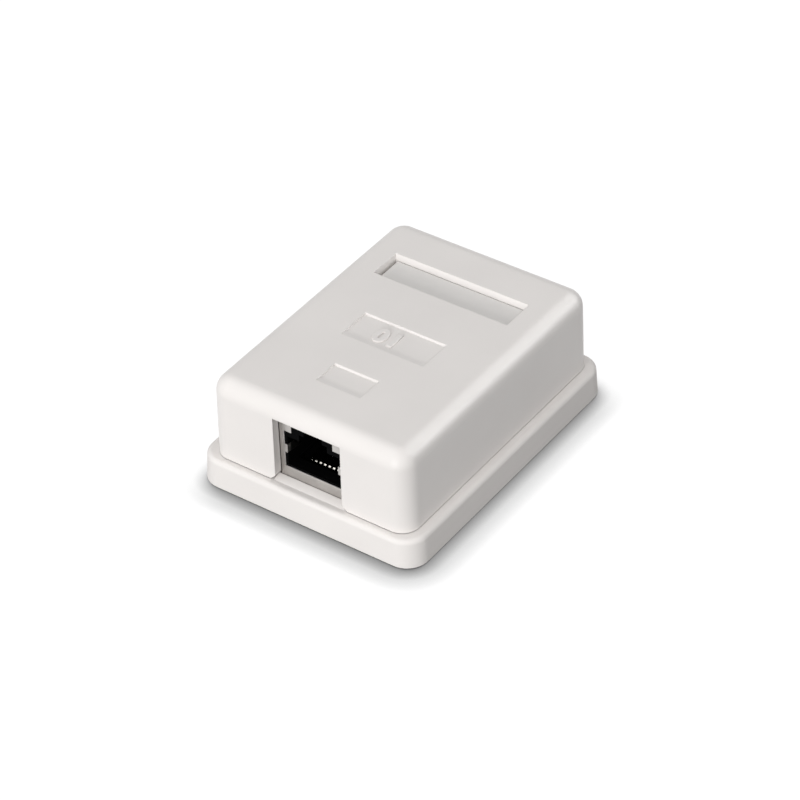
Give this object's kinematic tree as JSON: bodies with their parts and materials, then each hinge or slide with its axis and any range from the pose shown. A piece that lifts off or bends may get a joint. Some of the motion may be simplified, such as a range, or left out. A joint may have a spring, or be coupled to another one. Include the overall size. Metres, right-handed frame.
{
  "type": "surface mount jack box",
  "caption": "Single-port surface mount box for structured cabling: shielded modular socket in one end, lift-off cover on a flanged base tray.",
  "frame": {"origin": "middle of the mounting face, the underside of the foam pad that lies on the wall or desk", "axes": "+Z away from the mounting surface, -Y the way the socket faces, +X to the right when facing the socket"},
  "size_m": [0.05, 0.066, 0.0244],
  "materials": {
    "white_plastic": "moulded ABS, fine satin",
    "foam": "closed-cell foam pad",
    "board_laminate": "glass-epoxy board with green solder mask",
    "screw_steel": "zinc plated",
    "tinned_steel": "tin plated sheet, satin",
    "black_plastic": "glass-filled moulding",
    "block_plastic": "moulded, ivory white",
    "clear_plastic": "clear, polished",
    "card": "plain white card",
    "gold_contact": "gold plated",
    "tinned_bronze": "tin plated bronze"
  },
  "bodies": {
    "base": {"base": "white_plastic", "mounting_pad": "foam", "circuit_board": "board_laminate", "board_screw_left": "screw_steel", "board_screw_right": "screw_steel", "jack_shield": "tinned_steel", "jack_housing": "black_plastic", "contact_carrier": "black_plastic", "idc_block_left": "block_plastic", "idc_block_right": "block_plastic", "cable_clip": "tinned_steel", "contact_1": "gold_contact", "contact_2": "gold_contact", "contact_3": "gold_contact", "contact_4": "gold_contact", "contact_5": "gold_contact", "contact_6": "gold_contact", "contact_7": "gold_contact", "contact_8": "gold_contact", "idc_contact_1": "tinned_bronze", "idc_contact_2": "tinned_bronze", "idc_contact_3": "tinned_bronze", "idc_contact_4": "tinned_bronze", "idc_contact_5": "tinned_bronze", "idc_contact_6": "tinned_bronze", "idc_contact_7": "tinned_bronze", "idc_contact_8": "tinned_bronze"},
    "cover": {"cover": "white_plastic", "label_card": "card", "cover_screw": "screw_steel"},
    "label_window": {"label_window": "clear_plastic"}
  },
  "joints": [
    {"name": "cover_lift", "type": "slide", "parent": "base", "child": "cover", "axis": [0, 0, 1], "range_m": [0, 0.03]},
    {"name": "window_lift", "type": "slide", "parent": "cover", "child": "label_window", "axis": [0, 0, 1], "range_m": [0, 0.008]}
  ]
}
